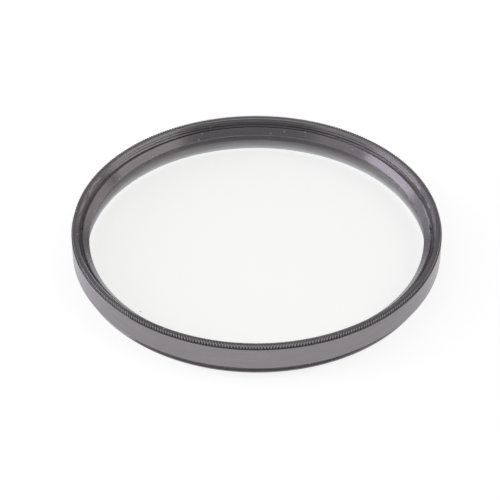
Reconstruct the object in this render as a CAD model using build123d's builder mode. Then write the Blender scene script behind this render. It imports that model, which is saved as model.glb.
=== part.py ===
import os
from math import pi
from build123d import *

os.makedirs("parts", exist_ok=True)

# A screw-in camera filter: a turned ring, a clear glass disc and the ring that holds the glass in.
# Millimetres. The origin is the centre of the rear rim, and +Z points out of the filter's front.

# Filter thread, the same size at both ends, so that filters stack
thread_diameter = 77.0
thread_pitch = 0.75
thread_radius = thread_diameter / 2
thread_depth = 0.54 * thread_pitch
front_crest_radius = thread_radius - thread_depth

# Heights up the axis, from the rear rim
rear_thread_length = 2.5
side_height = 5.0
knurl_height = 0.9
shoulder_z = rear_thread_length
knurl_z = shoulder_z + side_height
front_z = knurl_z + knurl_height

# Outside of the ring
knurl_wall = 0.8
knurl_pitch = 0.608
knurl_overlap = 0.01
knurl_groove_depth = 0.2
side_stand = 0.25
side_bevel = 0.15
shoulder_clearance = 0.1
shoulder_undercut = 0.1
rear_bevel = 0.3
rear_relief_height = 0.45
rear_relief_depth = 0.15
knurl_radius = thread_radius + knurl_wall
knurl_teeth = round(2 * pi * knurl_radius / knurl_pitch)
knurl_groove_width = 2 * pi * knurl_radius / knurl_teeth + knurl_overlap
side_radius = knurl_radius + side_stand
shoulder_radius = thread_radius + shoulder_clearance
rear_relief_radius = thread_radius - thread_depth - rear_relief_depth

# Inside of the ring, from the front rim down
front_lead = 0.25
front_lead_flare = 0.12
front_thread_length = 1.75
front_relief_height = 0.9
front_relief_depth = 0.15
rear_wall = 2.1
seat_width = 1.4
seat_bevel_width = 0.6
seat_bevel_height = 0.85
front_relief_radius = thread_radius + front_relief_depth
front_thread_end_z = front_z - front_thread_length
retainer_ledge_z = front_thread_end_z - front_relief_height
clear_radius = thread_radius - rear_wall
pocket_radius = clear_radius + seat_width

# Glass disc
glass_drop = 3.1
glass_thickness = 1.95
glass_clearance = 0.1
glass_bevel = 0.2
glass_radius = pocket_radius - glass_clearance
glass_front_z = front_z - glass_drop
seat_z = glass_front_z - glass_thickness

# Ring that screws down on the glass
retainer_clearance = 0.05
retainer_bevel = 0.5
retainer_lip = 0.25
retainer_flare = 1.2
retainer_land = 0.2
spanner_notch_width = 1.6
spanner_notch_depth = 0.6
spanner_notch_reach = 0.6
retainer_radius = pocket_radius - retainer_clearance
retainer_front_radius = retainer_radius - retainer_bevel - retainer_lip
retainer_rear_radius = retainer_front_radius - retainer_flare

with BuildPart() as mount_ring:
    with BuildSketch(Plane.XZ) as ring_section:
        with BuildLine():
            Polyline(
                (clear_radius + rear_bevel, 0),
                (thread_radius - rear_bevel, 0),
                (thread_radius, rear_bevel),
                (thread_radius, shoulder_z - rear_relief_height),
                (rear_relief_radius, shoulder_z - rear_relief_height),
                (rear_relief_radius, shoulder_z + shoulder_undercut),
                (shoulder_radius, shoulder_z),
                (side_radius - side_bevel, shoulder_z),
                (side_radius, shoulder_z + side_bevel),
                (side_radius, knurl_z - side_bevel),
                (side_radius - side_bevel, knurl_z),
                (knurl_radius, knurl_z),
                (knurl_radius, front_z),
                (thread_radius + front_lead_flare, front_z),
                (front_crest_radius, front_z - front_lead),
                (front_crest_radius, front_thread_end_z),
                (front_relief_radius, front_thread_end_z),
                (front_relief_radius, retainer_ledge_z),
                (pocket_radius, retainer_ledge_z),
                (pocket_radius, seat_z),
                (clear_radius + seat_bevel_width, seat_z),
                (clear_radius, seat_z - seat_bevel_height),
                (clear_radius, rear_bevel),
                close=True,
            )
        make_face()
    revolve(axis=Axis.Z)

    # Straight knurl on the collar at the front rim: V grooves side by side, with sharp crests between
    with BuildSketch(Plane.XY.offset(knurl_z)) as knurl_grooves:
        with PolarLocations(knurl_radius, knurl_teeth):
            Polygon(
                (-knurl_groove_depth, 0),
                (knurl_groove_depth, knurl_groove_width),
                (knurl_groove_depth, -knurl_groove_width),
                align=None,
            )
    extrude(amount=knurl_height, mode=Mode.SUBTRACT)
mount_ring.part.label = "mount_ring"
export_step(mount_ring.part, "parts/mount_ring.step")

with BuildPart() as filter_glass:
    with Locations((0, 0, seat_z)):
        Cylinder(glass_radius, glass_thickness, align=(Align.CENTER, Align.CENTER, Align.MIN))
    chamfer(filter_glass.edges().filter_by(GeomType.CIRCLE), glass_bevel)
filter_glass.part.label = "filter_glass"
export_step(filter_glass.part, "parts/filter_glass.step")

with BuildPart() as retaining_ring:
    with BuildSketch(Plane.XZ) as retainer_section:
        with BuildLine():
            Polyline(
                (retainer_rear_radius, glass_front_z),
                (retainer_radius, glass_front_z),
                (retainer_radius, front_thread_end_z - retainer_bevel),
                (retainer_radius - retainer_bevel, front_thread_end_z),
                (retainer_front_radius, front_thread_end_z),
                (retainer_rear_radius, glass_front_z + retainer_land),
                close=True,
            )
        make_face()
    revolve(axis=Axis.Z)

    # Two notches in the outer edge, across from each other, for the spanner that turns the ring
    with BuildSketch(Plane.XY.offset(front_thread_end_z)) as spanner_notches:
        with PolarLocations(retainer_radius, 2):
            Rectangle(2 * spanner_notch_reach, spanner_notch_width)
    extrude(amount=-spanner_notch_depth, mode=Mode.SUBTRACT)
retaining_ring.part.label = "retaining_ring"
export_step(retaining_ring.part, "parts/retaining_ring.step")
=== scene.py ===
import math

import bmesh
import bpy
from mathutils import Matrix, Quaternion, Vector


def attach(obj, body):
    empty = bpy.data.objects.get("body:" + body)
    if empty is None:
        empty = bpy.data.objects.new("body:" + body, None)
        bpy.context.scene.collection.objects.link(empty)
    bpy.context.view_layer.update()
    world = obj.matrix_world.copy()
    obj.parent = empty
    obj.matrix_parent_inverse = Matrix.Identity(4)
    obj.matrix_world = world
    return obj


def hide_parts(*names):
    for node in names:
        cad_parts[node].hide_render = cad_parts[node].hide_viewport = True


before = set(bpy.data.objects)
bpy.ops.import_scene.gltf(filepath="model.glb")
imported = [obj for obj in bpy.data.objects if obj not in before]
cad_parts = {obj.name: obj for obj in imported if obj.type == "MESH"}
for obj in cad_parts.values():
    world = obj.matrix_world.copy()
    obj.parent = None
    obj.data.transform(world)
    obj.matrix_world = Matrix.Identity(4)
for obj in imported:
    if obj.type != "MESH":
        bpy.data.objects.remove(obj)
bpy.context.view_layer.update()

mm = 0.001


class Wire:
    # one output socket; sums on it add Math nodes to its tree
    def __init__(self, socket):
        self.socket = socket

    def other(self, name):
        return Wire(self.socket.node.outputs[name])

    def calc(self, operation, *others):
        return Board(self.socket.id_data).put(
            "ShaderNodeMath", {"operation": operation}, dict(enumerate((self, *others))))

    def __add__(self, b): return self.calc("ADD", b)
    def __sub__(self, b): return self.calc("SUBTRACT", b)
    def __mul__(self, b): return self.calc("MULTIPLY", b)
    def __truediv__(self, b): return self.calc("DIVIDE", b)
    def __mod__(self, b): return self.calc("MODULO", b)
    def __gt__(self, b): return self.calc("GREATER_THAN", b)
    def __lt__(self, b): return self.calc("LESS_THAN", b)
    def __radd__(self, a): return self + a
    def __rsub__(self, a): return self * -1 + a
    def __rmul__(self, a): return self * a


class Board:
    # a node tree being filled
    def __init__(self, tree):
        self.tree = tree

    def put(self, kind, settings=None, sockets=None, out=0):
        node = self.tree.nodes.new(kind)
        for name, value in (settings or {}).items():
            if name == "captures":
                for label, kindOfValue in value.items():
                    node.capture_items.new(kindOfValue, label)
            else:
                setattr(node, name, value)
        for key, value in (sockets or {}).items():
            if isinstance(value, Wire):
                self.tree.links.new(value.socket, node.inputs[key])
            else:
                node.inputs[key].default_value = value
        return Wire(node.outputs[out]) if node.outputs else node

    def ramp(self, value, low, high):
        return self.put("ShaderNodeMapRange", {"interpolation_type": "SMOOTHSTEP"},
                        {"Value": value, "From Min": low, "From Max": high})

    def blend(self, factor, a, b):
        return self.put("ShaderNodeMix", {"data_type": "RGBA"}, {"Factor": factor, 6: a, 7: b}, out=2)

    def noise(self, place, detail):
        return self.put("ShaderNodeTexNoise", sockets={"Vector": place, "Scale": 1.0, "Detail": detail})

    def split(self, vector):
        x = self.put("ShaderNodeSeparateXYZ", sockets={0: vector})
        return x, x.other("Y"), x.other("Z")

    def join(self, x=0.0, y=0.0, z=0.0):
        return self.put("ShaderNodeCombineXYZ", sockets={"X": x, "Y": y, "Z": z})


def clamp(value, low, high):
    return value.calc("MAXIMUM", low).calc("MINIMUM", high)


def hypot(a, b):
    return (a * a + b * b).calc("SQRT")


def newMaterial(name, viewColour):
    material = bpy.data.materials.new(name)
    material.use_nodes = True
    material.diffuse_color = (*viewColour, 1)
    material.node_tree.nodes.clear()
    return material, Board(material.node_tree)


def ringPoint(azimuth, radius, height):
    # a place on the part, with the azimuth in degrees from the back towards +X
    turn = math.radians(azimuth)
    return radius * math.sin(turn) * mm, radius * math.cos(turn) * mm, height * mm


def spots(board, point, places):
    # a mask of round specks, each an (azimuth, radius, height, size)
    mask = None
    for azimuth, radius, height, size in places:
        away = board.put("ShaderNodeVectorMath", {"operation": "DISTANCE"},
                         {0: point, 1: ringPoint(azimuth, radius, height)}, out="Value")
        speck = board.ramp(away, size * mm, size * mm * 0.5)
        mask = speck if mask is None else mask.calc("MAXIMUM", speck)
    return mask


# black anodised finish of the turned pieces: dark satin metal, lathe lines, rubbed edges, a little dust,
# and painted light: a painted sheen low in the bore and painted light in the grooves the edge-and-sheen
# places and the groove-light places are (radius, height, reach), rubs add two azimuths in front, all in mm
# and degrees
ringFinish = {
    "colour": (0.285, 0.269, 0.282),
    "streakColour": (0.318, 0.303, 0.319),
    "edgeAndSheenColour": (0.46, 0.45, 0.48),
    "grooveLightColour": (0.72, 0.69, 0.7),
    "rubColour": (0.9, 0.93, 1.0),
    "dustColour": (0.85, 0.85, 0.88),
    "roughness": 0.25,
    "brushing": 0.8,
    "metal": 0.75,
    "linesPerMm": 4.0,
    "dustSpacing": 1.4,   # mm
    "dustSize": 0.12,     # mm
    "lineDepth": 0.01,    # mm
    "rubFade": 6,         # degrees
    # the last two places, low in the bore, are painted sheen for the floor's light reflected there; the
    # other places are rubbed rims
    "edges": [(39.3, 8.4, 0.1), (38.62, 8.4, 0.1), (36.7, 0.1, 0.2), (36.4, 1.0, 1.3)],
    # painted light: paler, less metallic colour in the shaded trench below the thread, on the step under it
    # and in the knurl gaps
    "grooves": [(38.65, 6.0, 0.5), (38.2, 5.75, 0.6), (38.95, 7.95, 0.38)],
    "bore": (37.9, 3.4),  # below the glass, up to this radius and height
    "boreDull": 0.25,     # added roughness
    "rimFace": 8.39,      # the flat on top of the rim
    "rimGloss": 0.13,     # taken off the roughness
    "footSheen": (36.9, 1.6),  # painted sheen: paler inside the bore towards the rear rim, for the floor's light reflected there
    "footSheenColour": (0.85, 0.85, 0.87),
    "rubs": [(-92, -56, 38.2, 7.6, 0.6), (61, 92, 38.25, 6.75, 0.7), (66, 98, 38.5, 6.3, 0.8)],
    "specks": [(-84, 39.0, 8.4, 0.17), (66, 38.4, 7.2, 0.16), (-102, 39.55, 7.0, 0.2),
               (-120, 39.55, 6.4, 0.16)],
}
retainerFinish = dict(
    ringFinish, linesPerMm=3.2, dustSpacing=1.3,
    edges=[(37.0, 6.65, 0.12), (37.25, 6.65, 0.12)],
    # painted light: paler colour on the outer bevel, in the shaded trench beside the thread
    grooves=[(37.6, 6.3, 0.4)],
    rubs=[(70, 98, 37.3, 6.6, 0.45), (74, 96, 37.4, 6.5, 0.5)],
    specks=[(-102.5, 36.6, 6.2, 0.18), (-41.4, 35.95, 5.58, 0.2), (-40.3, 35.84, 5.46, 0.28),
            (-38.4, 35.9, 5.52, 0.18), (-29, 35.8, 5.45, 0.18), (17.5, 37.0, 6.6, 0.18)])


def anodised(name, finish):
    material, board = newMaterial(name, finish["colour"])
    point = board.put("ShaderNodeTexCoord", out="Object")
    x, y, z = board.split(point)
    radius, height = hypot(x, y) * 1000, z * 1000
    azimuth = x.calc("ARCTAN2", y) * math.degrees(1)

    def near(places):
        # a mask round the circles of the given radius and height, out to the given reach
        mask = None
        for ownRadius, ownHeight, reach in places:
            circle = board.ramp(hypot(radius - ownRadius, height - ownHeight), reach, reach * 0.2)
            mask = circle if mask is None else mask.calc("MAXIMUM", circle)
        return mask

    # lathe lines run round the axis, so they hang on radius and height alone
    lines = board.noise(board.join((radius * 0.83 + height) * finish["linesPerMm"]), 2.0)
    streaks = board.noise(board.join(azimuth * 0.09, radius * 1.4, height * 1.4), 3.0)
    scratches = board.noise(board.join(azimuth * 0.2, radius * 3.0, height * 3.0 + azimuth * 0.12), 2.0)

    # pale where turned rims are rubbed all round, with a painted sheen low in the bore in the same mask,
    # and rubbed in short streaks between two azimuths
    wornAndSheen = near(finish["edges"]) * (0.35 + 0.65 * board.ramp(streaks, 0.35, 0.65))
    rubbed = 0.0
    for start, end, *place in finish["rubs"]:
        stretch = board.ramp(azimuth, start, start + finish["rubFade"])
        stretch = stretch * board.ramp(azimuth, end, end - finish["rubFade"])
        rubbed = near([place]) * stretch * board.ramp(scratches, 0.47, 0.58) + rubbed

    # dust: a speck in some of the cells of a random pattern, and the larger specks one by one
    cells = board.put("ShaderNodeTexVoronoi", sockets={
        "Vector": point, "Scale": 1000 / finish["dustSpacing"]}, out="Distance")
    lot = board.put("ShaderNodeSeparateColor", sockets={0: cells.other("Color")})
    sizeShare = finish["dustSize"] / finish["dustSpacing"]
    dust = (cells < sizeShare * (0.4 + lot.other("Green"))) * (lot > 0.5)
    dust = dust.calc("MAXIMUM", spots(board, point, finish["specks"]))
    # painted light: paler and less metallic in the shaded grooves and knurl gaps
    groove = near(finish["grooves"])
    bore = (radius < finish["bore"][0]) * (height < finish["bore"][1])
    # painted sheen: paler low in the bore, fading out upwards, for the floor's light reflected there
    footSheen = (radius < finish["footSheen"][0]) * board.ramp(height, finish["footSheen"][1], 0.0)
    gloss = (height > finish["rimFace"]) * finish["rimGloss"] - bore * finish["boreDull"]

    colour = board.blend(board.ramp(streaks * 0.6 + lines * 0.4, 0.3, 0.7),
                         (*finish["colour"], 1), (*finish["streakColour"], 1))
    # rubbed rims, and the painted sheen low in the bore
    colour = board.blend(wornAndSheen, colour, (*finish["edgeAndSheenColour"], 1))
    # the painted sheen low in the bore
    colour = board.blend(footSheen, colour, (*finish["footSheenColour"], 1))
    # painted light in the grooves
    colour = board.blend(groove, colour, (*finish["grooveLightColour"], 1))
    colour = board.blend(rubbed, colour, (*finish["rubColour"], 1))
    colour = board.blend(dust, colour, (*finish["dustColour"], 1))
    bump = board.put("ShaderNodeBump", sockets={
        "Strength": 0.15, "Distance": finish["lineDepth"] * mm, "Height": lines + dust * 2})
    surface = board.put("ShaderNodeBsdfPrincipled", sockets={
        "Base Color": colour, "Roughness": finish["roughness"] - gloss + (lines - 0.5) * 0.1 + dust * 0.5,
        "Metallic": finish["metal"] * (1 - dust) * (1 - groove.calc("MAXIMUM", rubbed) * 0.8),
        "Anisotropic": finish["brushing"], "Anisotropic Rotation": 0.25, "Normal": bump})
    board.put("ShaderNodeOutputMaterial", sockets={"Surface": surface})
    return material


ringMaterial = anodised("blackAnodisedRing", ringFinish)
retainerMaterial = anodised("blackAnodisedRetainer", retainerFinish)

# coated clear glass, faintly green, with one dark speck
glassFinish = {
    "tint": (0.998, 1.0, 0.995),
    "refraction": 1.52,
    "reflection": 0.05,
    "shadowTint": (0.985, 0.99, 0.98),
    "speckColour": (0.05, 0.045, 0.04),
    "specks": [(-136.6, 34.75, 5.3, 0.16)],
}


def clearGlass(name, finish):
    material, board = newMaterial(name, finish["tint"])
    glass = board.put("ShaderNodeBsdfPrincipled", sockets={
        "Base Color": (*finish["tint"], 1), "Roughness": 0.0, "IOR": finish["refraction"],
        "Specular IOR Level": finish["reflection"], "Transmission Weight": 1.0})
    path = board.put("ShaderNodeLightPath", out="Is Shadow Ray")
    mirrored = path.other("Is Glossy Ray") > path.other("Is Transmission Ray")
    passing = path.calc("MAXIMUM", path.other("Is Diffuse Ray")).calc("MAXIMUM", mirrored)
    clear = board.put("ShaderNodeBsdfTransparent", sockets={"Color": (*finish["shadowTint"], 1)})
    surface = board.put("ShaderNodeMixShader", sockets={0: passing, 1: glass, 2: clear})
    dirt = board.put("ShaderNodeBsdfPrincipled", sockets={
        "Base Color": (*finish["speckColour"], 1), "Roughness": 0.8})
    speck = spots(board, board.put("ShaderNodeTexCoord", out="Object"), finish["specks"])
    surface = board.put("ShaderNodeMixShader", sockets={0: speck, 1: surface, 2: dirt})
    board.put("ShaderNodeOutputMaterial", sockets={"Surface": surface})
    return material


glassMaterial = clearGlass("coatedClearGlass", glassFinish)
print("materials made")


def sectionObject(name, points):
    # a closed outline across the piece, drawn flat for a tree to sweep
    mesh = bpy.data.meshes.new(name)
    count = len(points)
    mesh.from_pydata([(a * mm, b * mm, 0) for a, b in points],
                     [(i, (i + 1) % count) for i in range(count)], [])
    piece = bpy.data.objects.new(name, mesh)
    bpy.context.collection.objects.link(piece)
    return piece


def newTree(name, inputs):
    tree = bpy.data.node_groups.new(name, "GeometryNodeTree")
    tree.interface.new_socket("Section", in_out="INPUT", socket_type="NodeSocketGeometry")
    for label, kind in inputs.items():
        tree.interface.new_socket(label, in_out="INPUT", socket_type=kind)
    tree.interface.new_socket("Piece", in_out="OUTPUT", socket_type="NodeSocketGeometry")
    board = Board(tree)
    return tree, board, board.put("NodeGroupInput")


def closeTree(board, geometry, finish):
    geometry = board.put("GeometryNodeRealizeInstances", sockets={"Geometry": geometry})
    geometry = board.put("GeometryNodeSetMaterial", sockets={"Geometry": geometry, "Material": finish})
    board.put("NodeGroupOutput", sockets={0: geometry})


# smooth round the axis, and sharp across the turned sections
sharpDegrees = 10


def tidyMesh(mesh):
    work = bmesh.new()
    work.from_mesh(mesh)
    bmesh.ops.remove_doubles(work, verts=work.verts, dist=1e-7)
    bmesh.ops.recalc_face_normals(work, faces=work.faces)
    for face in work.faces:
        face.smooth = True
    work.to_mesh(mesh)
    work.free()
    mesh.set_sharp_from_angle(angle=math.radians(sharpDegrees))


def runTree(piece, tree, values):
    modifier = piece.modifiers.new("shape", "NODES")
    modifier.node_group = tree
    for item in tree.interface.items_tree:
        if item.in_out == "INPUT" and item.name in values:
            modifier[item.identifier] = values[item.name]
    graph = bpy.context.evaluated_depsgraph_get()
    mesh = bpy.data.meshes.new_from_object(piece.evaluated_get(graph))
    piece.modifiers.remove(modifier)
    old = piece.data
    piece.data = mesh
    bpy.data.meshes.remove(old)
    mesh.name = piece.name
    tidyMesh(mesh)
    return piece


# the turned ring; the threads' root cylinders stand here, and the turns are pieces of their own
ringSizes = {
    "teeth": 406,
    "rimRadius": 39.3,
    "grooveDepth": 0.32,
    "landShare": 0.48,
    "rootShare": 0.26,
    "knurlFoot": 7.5,
    "edgeRound": 0.045,
    "section": [
        (36.7, 0.0), (37.99, 0.0), (38.095, 0.11), (38.095, 2.05), (37.945, 2.05), (37.945, 2.6),
        (38.6, 2.5), (39.4, 2.5), (39.55, 2.65), (39.55, 7.5), (39.3, 7.5), (39.3, 8.4),
        (38.62, 8.4), (38.435, 8.312), (38.435, 6.3), (38.65, 6.3), (38.65, 5.75), (37.8, 5.75),
        (37.8, 3.35), (37.0, 3.35), (36.4, 2.5), (36.4, 0.3)],
}


def turnedRingTree():
    tree, board, given = newTree("turnedKnurledRing", {
        "Teeth": "NodeSocketInt", "Path Radius": "NodeSocketFloat", "Rim Radius": "NodeSocketFloat",
        "Groove Depth": "NodeSocketFloat", "Land Share": "NodeSocketFloat", "Root Share": "NodeSocketFloat",
        "Knurl Foot": "NodeSocketFloat", "Edge Round": "NodeSocketFloat", "Finish": "NodeSocketMaterial"})
    teeth = given.other("Teeth")
    outline = board.put("GeometryNodeMeshToCurve", sockets={"Mesh": given})
    outline = board.put("GeometryNodeFilletCurve", {"mode": "POLY"}, {
        "Curve": outline, "Count": 1, "Radius": given.other("Edge Round"), "Limit Radius": True})
    circle = board.put("GeometryNodeCurvePrimitiveCircle", {"mode": "RADIUS"}, {
        "Resolution": teeth * 4, "Radius": given.other("Path Radius")})
    circle = board.put("GeometryNodeCaptureAttribute", {"domain": "POINT", "captures": {"spoke": "INT"}}, {
        "Geometry": circle, 1: board.put("GeometryNodeInputIndex")})
    ring = board.put("GeometryNodeCurveToMesh", sockets={"Curve": circle, "Profile Curve": outline})

    # four spokes a tooth: the two sides of its land and the two sides of the groove's root after it
    spoke = circle.other("spoke") % 4
    atRoot = spoke > 1.5
    x, y, z = board.split(board.put("GeometryNodeInputPosition"))
    radius = hypot(x, y)
    land = given.other("Land Share")
    share = land + atRoot * (given.other("Root Share") - land)
    angle = y.calc("ARCTAN2", x) + (spoke % 2 * 2 - 1) * (share - 1 / 4) * math.pi / teeth
    rim = given.other("Rim Radius")
    onCollar = (radius > rim - 0.12 * mm) * (radius < rim + 0.02 * mm)
    onCollar = onCollar * (z > given.other("Knurl Foot") - 0.01 * mm)
    radius = radius - atRoot * onCollar * given.other("Groove Depth")
    ring = board.put("GeometryNodeSetPosition", sockets={"Geometry": ring, "Position": board.join(
        radius * angle.calc("COSINE"), radius * angle.calc("SINE"), z)})
    closeTree(board, ring, given.other("Finish"))
    return tree


pathRadius = 38.0
mountRing = runTree(
    sectionObject("mountRing", [(r - pathRadius, -z) for r, z in ringSizes["section"]]), turnedRingTree(), {
        "Teeth": ringSizes["teeth"], "Path Radius": pathRadius * mm,
        "Rim Radius": ringSizes["rimRadius"] * mm, "Groove Depth": ringSizes["grooveDepth"] * mm,
        "Land Share": ringSizes["landShare"], "Root Share": ringSizes["rootShare"],
        "Knurl Foot": ringSizes["knurlFoot"] * mm, "Edge Round": ringSizes["edgeRound"] * mm,
        "Finish": ringMaterial})
print("ring turned and knurled:", len(mountRing.data.polygons), "faces")

# the turns of both filter threads, right-handed, cut back where they meet the rims' lead-in cones
threadSizes = {
    "pitch": 0.75,
    "rootHalf": 0.365,
    "crestHalf": 0.03,
    "stepsPerTurn": 360,
    "front": {"rootRadius": 38.465, "crestRadius": 38.095, "from": 6.12, "turns": 2.88, "startAngle": 55.0,
              "low": 6.1, "high": 8.385, "side": 1.0,
              "coneRadius": 38.095, "coneHeight": 8.15, "coneSlope": 2.1},
    "rear": {"rootRadius": 38.065, "crestRadius": 38.5, "from": 0.2, "turns": 2.4, "startAngle": 20.0,
             "low": 0.03, "high": 2.05, "side": -1.0,
             "coneRadius": 38.2, "coneHeight": 0.0, "coneSlope": 1.0},
}


def threadTree():
    tree, board, given = newTree("threadTurns", {
        "Steps": "NodeSocketInt", "Turns": "NodeSocketFloat", "Pitch": "NodeSocketFloat",
        "Root Radius": "NodeSocketFloat", "From": "NodeSocketFloat", "Start Angle": "NodeSocketFloat",
        "Low": "NodeSocketFloat", "High": "NodeSocketFloat", "Side": "NodeSocketFloat",
        "Cone Radius": "NodeSocketFloat", "Cone Height": "NodeSocketFloat", "Cone Slope": "NodeSocketFloat",
        "Finish": "NodeSocketMaterial"})
    turns = given.other("Turns")
    helix = board.put("GeometryNodeCurveSpiral", sockets={
        "Resolution": given.other("Steps"), "Rotations": turns, "Start Radius": given.other("Root Radius"),
        "End Radius": given.other("Root Radius"), "Height": turns * given.other("Pitch"), "Reverse": True})
    helix = board.put("GeometryNodeTransform", sockets={
        "Geometry": helix, "Translation": board.join(z=given.other("From")),
        "Rotation": board.join(z=given.other("Start Angle"))})
    helix = board.put("GeometryNodeSetCurveNormal", {"mode": "Z_UP"}, {"Curve": helix})
    along = board.put("GeometryNodeSplineParameter", out="Factor")
    fade = clamp(along.calc("MINIMUM", 1 - along) * 40, 0.02, 1.0)
    ridge = board.put("GeometryNodeMeshToCurve", sockets={"Mesh": given})
    thread = board.put("GeometryNodeCurveToMesh", sockets={
        "Curve": helix, "Profile Curve": ridge, "Scale": fade, "Fill Caps": True})

    x, y, z = board.split(board.put("GeometryNodeInputPosition"))
    side = given.other("Side")
    height = clamp(z, given.other("Low"), given.other("High"))
    radius = hypot(x, y)
    cone = given.other("Cone Radius") + (height - given.other("Cone Height")) * given.other("Cone Slope")
    cut = side * (side * radius).calc("MAXIMUM", side * cone)
    thread = board.put("GeometryNodeSetPosition", sockets={"Geometry": thread, "Position": board.join(
        x * cut / radius, y * cut / radius, height)})
    closeTree(board, thread, given.other("Finish"))
    return tree


threadTurns = threadTree()


def cutThread(name, sizes):
    depth = sizes["crestRadius"] - sizes["rootRadius"]
    half, crest = threadSizes["rootHalf"], threadSizes["crestHalf"]
    section = [(0, -half), (depth, -crest), (depth, crest), (0, half)]
    return runTree(sectionObject(name, section), threadTurns, {
        "Steps": threadSizes["stepsPerTurn"], "Turns": sizes["turns"], "Pitch": threadSizes["pitch"] * mm,
        "Root Radius": sizes["rootRadius"] * mm, "From": sizes["from"] * mm,
        "Start Angle": math.radians(sizes["startAngle"]), "Low": sizes["low"] * mm,
        "High": sizes["high"] * mm, "Side": sizes["side"], "Cone Radius": sizes["coneRadius"] * mm,
        "Cone Height": sizes["coneHeight"] * mm, "Cone Slope": sizes["coneSlope"], "Finish": ringMaterial})


frontThread = cutThread("frontThread", threadSizes["front"])
rearThread = cutThread("rearThread", threadSizes["rear"])
print("threads cut:", len(frontThread.data.polygons), "and", len(rearThread.data.polygons), "faces")


def turnOutline(name, outlineAt, angles, material, capped=False):
    # turns an outline round the axis; a capped one is open, and its two ends become flat faces
    work = bmesh.new()
    spokes = []
    for angle in angles:
        spokes.append([work.verts.new((r * mm * math.cos(angle), r * mm * math.sin(angle), z * mm))
                       for r, z in outlineAt(angle)])
    count = len(spokes[0])
    for spoke, following in zip(spokes, spokes[1:] + spokes[:1]):
        for j in range(count - 1 if capped else count):
            k = (j + 1) % count
            work.faces.new((spoke[j], following[j], following[k], spoke[k]))
    if capped:
        for end in (0, -1):
            work.faces.new([spoke[end] for spoke in spokes])
    mesh = bpy.data.meshes.new(name)
    work.to_mesh(mesh)
    work.free()
    mesh.materials.append(material)
    tidyMesh(mesh)
    piece = bpy.data.objects.new(name, mesh)
    bpy.context.collection.objects.link(piece)
    return piece


def evenAngles(count):
    return [2 * math.pi * (i + 0.5) / count for i in range(count)]


# the ring that screws down on the glass, with two notches for a spanner; both outlines have the same points
retainerSizes = {
    "notchWidth": 1.6,
    "notchRadius": 37.45,
    "spokes": 720,
    "outline": [
        (35.82, 5.3), (37.75, 5.3), (37.75, 6.11), (37.72, 6.18), (37.29, 6.61), (37.22, 6.65),
        (37.03, 6.65), (36.97, 6.62), (35.82, 5.45), (35.8, 5.4), (35.8, 5.32)],
    "notched": [
        (35.82, 5.3), (37.75, 5.3), (37.75, 6.01), (37.72, 6.05), (37.15, 6.05), (37.15, 6.65),
        (37.03, 6.65), (36.97, 6.62), (35.82, 5.45), (35.8, 5.4), (35.8, 5.32)],
}
notchHalf = math.asin(retainerSizes["notchWidth"] / 2 / retainerSizes["notchRadius"])
notchMiddles = (0, math.pi)


def retainerOutline(angle):
    off = min(abs((angle - middle + math.pi) % (2 * math.pi) - math.pi) for middle in notchMiddles)
    return retainerSizes["notched" if off < notchHalf else "outline"]


notchSides = [(middle + side * notchHalf + nudge) % (2 * math.pi)
              for middle in notchMiddles for side in (-1, 1) for nudge in (-0.0001, 0.0001)]
retainingRing = turnOutline("retainingRing", retainerOutline,
                            sorted(evenAngles(retainerSizes["spokes"]) + notchSides), retainerMaterial)
print("retaining ring turned:", len(retainingRing.data.polygons), "faces")

# the flat glass disc
glassSizes = {
    "spokes": 360,
    "outline": [(37.5, 3.35), (37.7, 3.55), (37.7, 5.1), (37.5, 5.3)],
}
filterGlass = turnOutline("filterGlass", lambda angle: glassSizes["outline"],
                          evenAngles(glassSizes["spokes"]), glassMaterial, capped=True)
print("glass disc made")

# each piece keeps to the one body
for piece, slotName, node in [
        (mountRing, "anodised_ring", "mount_ring"), (frontThread, "anodised_ring", None),
        (rearThread, "anodised_ring", None), (retainingRing, "anodised_retainer", "retaining_ring"),
        (filterGlass, "clear_glass", "filter_glass")]:
    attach(piece, "root")
    if node:
        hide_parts(node)

# plain pale floor: it takes shadows, and shows as white to the eye, in metal and through glass
studio = {
    "floorHalf": 3,          # m
    "floorLevel": -0.02,     # mm, just clear of the rear rim
    "floorColour": (0.6, 0.6, 0.6),
    "floorGlow": 0.78,
    "roomLight": 0.26,
    "lights": {
        "rightHigh": {"place": (0.55, 0.01, 0.59), "size": (0.57, 0.37), "roll": -33, "radiance": 0.93,
                      "colour": (1.0, 0.97, 0.95)},
        "rightBack": {"place": (0.66, 0.45, 0.13), "size": (0.57, 0.27), "roll": -36, "radiance": 0.78,
                      "colour": (1.0, 0.92, 0.92)},
        "leftLow": {"place": (-0.76, 0.11, 0.3), "size": (0.58, 0.42), "roll": 30, "radiance": 2.3,
                    "colour": (0.94, 0.92, 1.0)},
        "leftHigh": {"place": (-0.45, -0.15, 0.65), "size": (0.35, 0.37), "roll": 29, "radiance": 0.5,
                     "colour": (0.97, 0.93, 1.0)},
        "leftBack": {"place": (-0.59, 0.54, 0.07), "size": (0.48, 0.34), "roll": 37, "radiance": 0.65,
                     "colour": (0.95, 0.94, 1.0)},
    },
}

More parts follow.
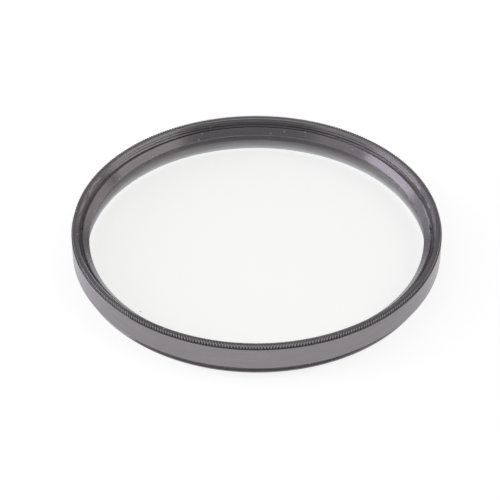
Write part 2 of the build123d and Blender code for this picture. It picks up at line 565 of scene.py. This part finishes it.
floorMesh = bpy.data.meshes.new("floor")
half, level = studio["floorHalf"], studio["floorLevel"] * mm
floorMesh.from_pydata([(x * half, y * half, level) for x, y in ((-1, -1), (1, -1), (1, 1), (-1, 1))],
                      [], [(0, 1, 2, 3)])
floor = bpy.data.objects.new("floor", floorMesh)
bpy.context.collection.objects.link(floor)
floorMaterial, floorBoard = newMaterial("paleFloor", studio["floorColour"])
eye = floorBoard.put("ShaderNodeLightPath", out="Is Camera Ray")
seen = eye.calc("MAXIMUM", eye.other("Is Glossy Ray")).calc("MAXIMUM", eye.other("Is Transmission Ray"))
matt = floorBoard.put("ShaderNodeBsdfDiffuse", sockets={"Color": (*studio["floorColour"], 1)})
glow = floorBoard.put("ShaderNodeEmission", sockets={"Strength": seen * studio["floorGlow"]})
both = floorBoard.put("ShaderNodeAddShader", sockets={0: matt, 1: glow})
floorBoard.put("ShaderNodeOutputMaterial", sockets={"Surface": both})
floorMesh.materials.append(floorMaterial)

world = bpy.data.worlds.new("room")
bpy.context.scene.world = world
world.use_nodes = True
world.node_tree.nodes.clear()
roomBoard = Board(world.node_tree)
looking = roomBoard.put("ShaderNodeLightPath", out="Is Camera Ray")
room = roomBoard.put("ShaderNodeBackground", sockets={
    "Color": (1, 1, 1, 1), "Strength": studio["roomLight"] + looking * (1 - studio["roomLight"])})
roomBoard.put("ShaderNodeOutputWorld", sockets={"Surface": room})

for lightName, setting in studio["lights"].items():
    lamp = bpy.data.lights.new(lightName, "AREA")
    lamp.shape = "RECTANGLE"
    lamp.size, lamp.size_y = setting["size"]
    lamp.energy = setting["radiance"] * math.pi * lamp.size * lamp.size_y
    lamp.color = setting["colour"]
    lampObject = bpy.data.objects.new(lightName, lamp)
    lampObject.location = setting["place"]
    facing = (-Vector(setting["place"])).to_track_quat("-Z", "Y")
    roll = Quaternion((0, 0, 1), math.radians(setting["roll"]))
    lampObject.rotation_euler = (facing @ roll).to_euler()
    bpy.context.collection.objects.link(lampObject)

# long lens from in front and above
view = {
    "lens": 150.75,
    "place": (-1.407, -349.6, 287.5),
    "aim": (-1.407, -9.118, 8.4),
}
cameraData = bpy.data.cameras.new("camera")
cameraData.lens = view["lens"]
cameraData.sensor_width = 36
camera = bpy.data.objects.new("camera", cameraData)
camera.location = Vector(view["place"]) * mm
camera.rotation_euler = (Vector(view["aim"]) - Vector(view["place"])).to_track_quat("-Z", "Y").to_euler()
bpy.context.collection.objects.link(camera)
scene = bpy.context.scene
scene.camera = camera
scene.view_settings.view_transform = "Standard"
print("studio set")
